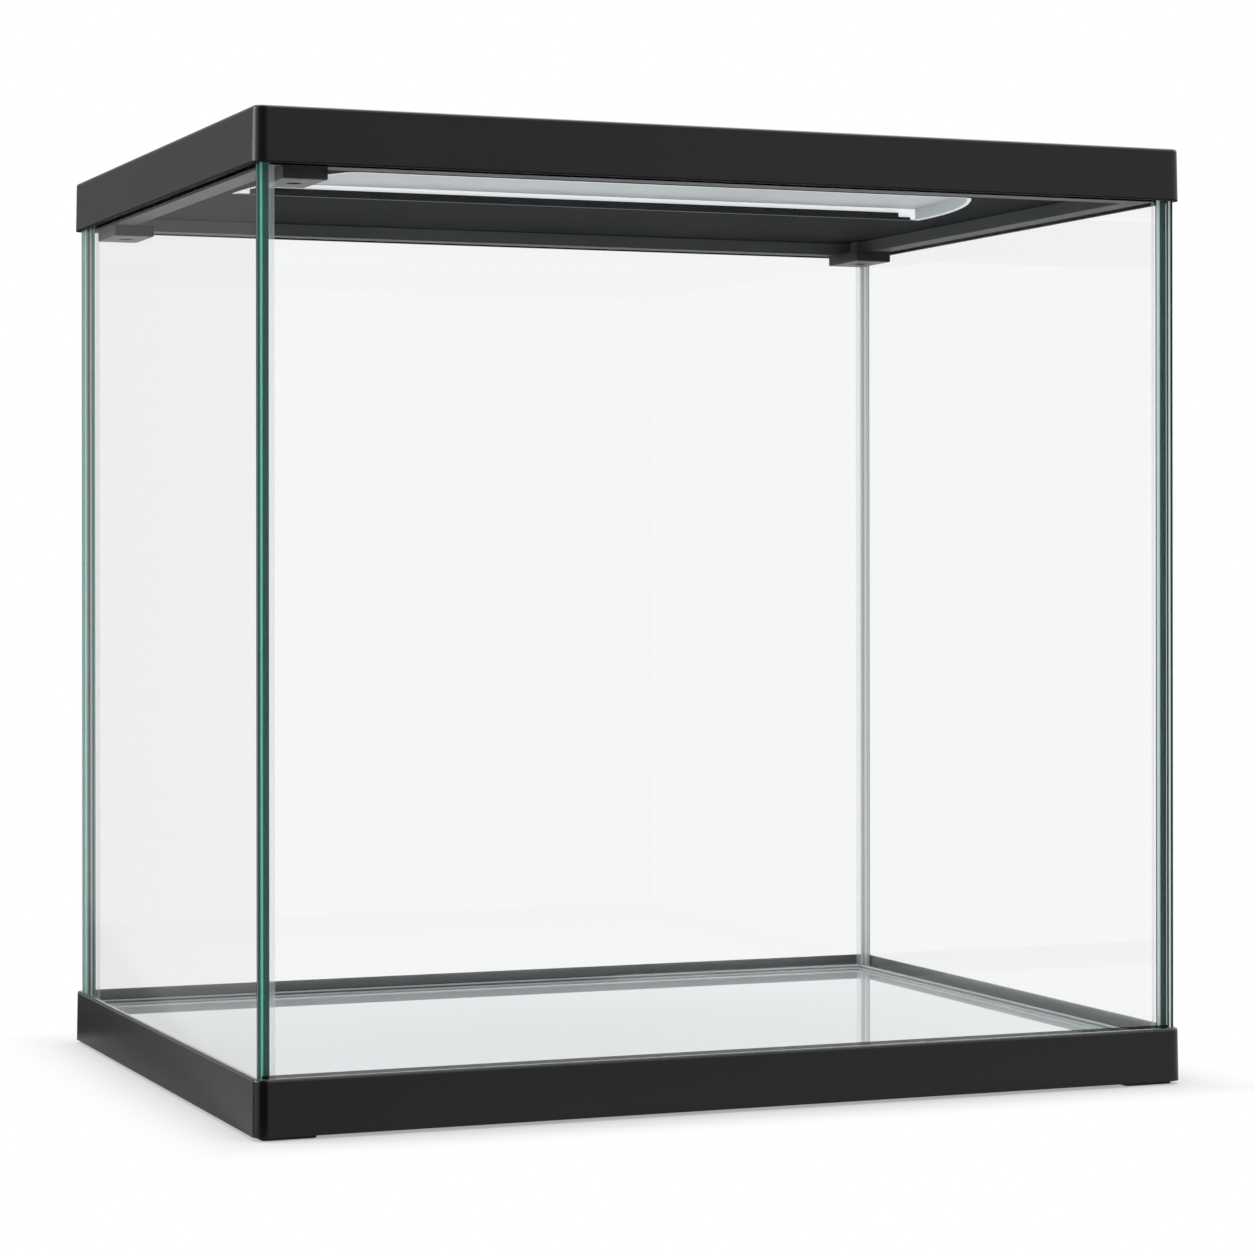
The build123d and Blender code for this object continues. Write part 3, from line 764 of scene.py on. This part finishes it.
show(
    block_tree,
    add_node(
        block_tree,
        "ShaderNodeBsdfPrincipled",
        None,
        {
            # painted light: the blocks' undersides are painted paler than their sides
            "Base Color": mix_colour(
                block_tree,
                part_of(block_tree, "Z") < block_low + level_skin,
                ramp(block_tree, block_flow, (0.3, (0.008, 0.008, 0.0083)), (0.75, (0.013, 0.013, 0.0135))),
                (0.085, 0.088, 0.09),
            ),
            "Roughness": block_flow * 0.1 + 0.4,
            "Specular IOR Level": 0.15,
            "Normal": bump(block_tree, noise(block_tree, 1800.0, 1.0), 0.000012),
        },
    ),
)
finish("light_panel", panel_plastic)
finish("lens_retainer", panel_plastic)
for corner in block_corners:
    finish("block_" + corner, block_plastic)

# Diffuser.
# An upside-down pan in frosted acrylic. The sanded inside is matt and bluish. Its rear wall is painted pale
# and glows, as painted light for light let through the acrylic. The front rim that shows flush with the
# ceiling is polished and painted pale, as a painted highlight, and the rear rim is drawn near black.
lens_low, lens_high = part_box("light_diffuser")
rear_flange = 0.0074
rear_wall_height = 0.0051
frosted, frosted_tree = new_tree("frosted_acrylic")
height = part_of(frosted_tree, "Z") - lens_low.z
sanding = noise(frosted_tree, 700.0, 2.0)
clouds = noise(frosted_tree, 12.0, 2.0)
at_rear = part_of(frosted_tree, "Y") > lens_high.y - rear_flange
rim = height < level_skin
rear_wall = at_rear * (1.0 - rim) * (height < rear_wall_height)
front_rim = (1.0 - at_rear) * rim
rear_rim = at_rear * rim
# painted light: the rear wall and the front rim are painted pale
painted_light_mask = rear_wall.larger(front_rim)
face_colour = ramp(frosted_tree, clouds, (0.3, (0.49, 0.53, 0.54)), (0.75, (0.61, 0.65, 0.66)))
painted_light_colour = mix_colour(frosted_tree, painted_light_mask, face_colour, (0.93, 0.95, 0.96))
show(
    frosted_tree,
    add_node(
        frosted_tree,
        "ShaderNodeBsdfPrincipled",
        None,
        {
            "Base Color": mix_colour(frosted_tree, rear_rim, painted_light_colour, (0.03, 0.03, 0.03)),
            "Roughness": 0.55 - painted_light_mask * 0.25,
            # painted light: the rear wall is given a glow of its own
            "Emission Color": mix_colour(frosted_tree, rear_wall, (0.02, 0.02, 0.02), (0.45, 0.45, 0.45)),
            "Emission Strength": 1.0,
            "Normal": bump(frosted_tree, sanding, 0.00002),
        },
    ),
)
finish("light_diffuser", frosted)
finish("lens_seal", clear_silicone)

# Light board.
# White-coated aluminium with two rows of lamps, held under the deck by two screws.
board_white = moulded_plastic("board_white", (0.72, 0.73, 0.74), (0.8, 0.81, 0.82), 0.35, 0.5)
finish("light_board", board_white)
led_white = moulded_plastic("led_white", (0.8, 0.8, 0.79), (0.86, 0.86, 0.85), 0.3, 0.5)
phosphor = moulded_plastic("phosphor", (0.8, 0.6, 0.12), (0.9, 0.72, 0.2), 0.2, 0.5)
led_tin = moulded_plastic("led_tin", (0.6, 0.6, 0.61), (0.7, 0.7, 0.71), 0.25, 0.9)
led_low, led_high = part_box("leds")
led_size = Vector((0.0035, 0.0028, led_high.z - led_low.z))
led_columns = 18
led_tree = bpy.data.node_groups.new("led_rows", "GeometryNodeTree")
for socket_name, kind in {
    "Columns": "NodeSocketInt",
    "Length": "NodeSocketFloat",
    "Row Pitch": "NodeSocketFloat",
    "Centre": "NodeSocketVector",
    "Package": "NodeSocketVector",
}.items():
    led_tree.interface.new_socket(socket_name, in_out="INPUT", socket_type=kind)
led_tree.interface.new_socket("Geometry", in_out="OUTPUT", socket_type="NodeSocketGeometry")


def led_block(share, shift, material):
    """A block of the LED's package: its size as a share of the package, its shift in it, its material."""
    package = add_node(led_tree, "NodeGroupInput", None, None, "Package")
    size = add_node(led_tree, "ShaderNodeVectorMath", {"operation": "MULTIPLY"}, {0: package, 1: share})
    place = add_node(led_tree, "ShaderNodeVectorMath", {"operation": "MULTIPLY"}, {0: package, 1: shift})
    block = add_node(led_tree, "GeometryNodeMeshCube", None, {"Size": size})
    block = add_node(led_tree, "GeometryNodeTransform", None, {"Geometry": block, "Translation": place})
    return add_node(led_tree, "GeometryNodeSetMaterial", None, {"Geometry": block, "Material": material})


led_package = add_node(
    led_tree,
    "GeometryNodeJoinGeometry",
    None,
    {
        "Geometry": [
            led_block((0.9, 1.0, 0.75), (0.0, 0.0, 0.125), led_white),
            led_block((0.66, 0.74, 0.7), (0.0, 0.0, -0.02), phosphor),
            led_block((0.9, 0.1, 0.3), (0.0, 0.45, -0.35), led_white),
            led_block((0.9, 0.1, 0.3), (0.0, -0.45, -0.35), led_white),
            led_block((0.1, 1.0, 0.3), (0.4, 0.0, -0.35), led_white),
            led_block((0.1, 1.0, 0.3), (-0.4, 0.0, -0.35), led_white),
            led_block((0.05, 0.8, 0.5), (0.475, 0.0, 0.2), led_tin),
            led_block((0.05, 0.8, 0.5), (-0.475, 0.0, 0.2), led_tin),
        ]
    },
)
led_grid = add_node(
    led_tree,
    "GeometryNodeMeshGrid",
    None,
    {
        "Size X": add_node(led_tree, "NodeGroupInput", None, None, "Length"),
        "Size Y": add_node(led_tree, "NodeGroupInput", None, None, "Row Pitch"),
        "Vertices X": add_node(led_tree, "NodeGroupInput", None, None, "Columns"),
        "Vertices Y": 2,
    },
)
led_rows = add_node(
    led_tree, "GeometryNodeInstanceOnPoints", None, {"Points": led_grid, "Instance": led_package}
)
led_rows = add_node(
    led_tree,
    "GeometryNodeTransform",
    None,
    {"Geometry": led_rows, "Translation": add_node(led_tree, "NodeGroupInput", None, None, "Centre")},
)
led_rows = add_node(led_tree, "GeometryNodeRealizeInstances", None, {"Geometry": led_rows})
add_node(led_tree, "NodeGroupOutput", None, {"Geometry": led_rows})

led_maker = bpy.data.objects.new("led_maker", bpy.data.meshes.new("led_maker"))
bpy.context.scene.collection.objects.link(led_maker)
led_modifier = led_maker.modifiers.new("led_rows", "NODES")
led_modifier.node_group = led_tree
led_values = {
    "Columns": led_columns,
    "Length": led_high.x - led_low.x - led_size.x,
    "Row Pitch": led_high.y - led_low.y - led_size.y,
    "Centre": (led_low + led_high) / 2,
    "Package": led_size,
}
for item in led_tree.interface.items_tree:
    if item.in_out == "INPUT":
        led_modifier[item.identifier] = led_values[item.name]
bpy.context.view_layer.update()
made = led_maker.evaluated_get(bpy.context.evaluated_depsgraph_get())
led_mesh = bpy.data.meshes.new_from_object(made)
bpy.data.objects.remove(led_maker)
led_mesh.name = "led_packages"
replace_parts(add_piece("led_packages", led_mesh, "hood", "lamp_resin"), "leds")

# Screws and hinge rod.
# Blackened steel screws and a drawn stainless rod.
def drawn_steel(name, dark, pale, roughness, stretch):
    """Metal with fine lines along one way."""
    material, tree = new_tree(name)
    lines = noise(tree, 3000.0, 2.0, stretch)
    shader = add_node(
        tree,
        "ShaderNodeBsdfPrincipled",
        None,
        {
            "Base Color": ramp(tree, lines, (0.3, dark), (0.7, pale)),
            "Metallic": 1.0,
            "Roughness": lines * 0.15 + roughness,
            "Normal": bump(tree, lines, 0.000004),
        },
    )
    show(tree, shader)
    return material


black_steel = drawn_steel("black_steel", (0.03, 0.03, 0.032), (0.07, 0.07, 0.075), 0.3, (1.0, 1.0, 1.0))
stainless = drawn_steel("stainless", (0.5, 0.5, 0.51), (0.68, 0.68, 0.69), 0.2, (0.02, 1.0, 1.0))
for corner in block_corners:
    finish("block_screw_" + corner, black_steel)
finish("board_screws", black_steel)
finish("flap_hinge_rod", stainless)

# Feed flap, switch and inlet socket.
# Small mouldings: the flap and the cap in the shell's plastic, the rest in a plain black one.
finish("feed_flap", black_plastic)
finish("switch_button", black_plastic)
small_plastic = moulded_plastic("small_plastic", (0.02, 0.02, 0.02), (0.035, 0.035, 0.035), 0.35, 0.5)
finish("switch_plunger", small_plastic)
finish("switch_body", small_plastic)
finish("inlet_socket", small_plastic)

# Switch board.
# Green lacquered glass-epoxy laminate.
laminate = moulded_plastic("laminate", (0.01, 0.09, 0.035), (0.02, 0.14, 0.06), 0.3, 0.5)
finish("switch_board", laminate)

# Inlet pin and leads.
# A brass pin, and red-brown sheathed leads.
brass = drawn_steel("brass", (0.62, 0.45, 0.18), (0.8, 0.62, 0.28), 0.2, (1.0, 0.05, 1.0))
finish("inlet_pin", brass)
sheath = moulded_plastic("sheath", (0.25, 0.02, 0.015), (0.35, 0.035, 0.02), 0.35, 0.5)
finish("inlet_leads", sheath)
finish("light_leads", sheath)

for node in nodes.values():
    if not node.data.materials:
        raise SystemExit(node.name + " has no material")
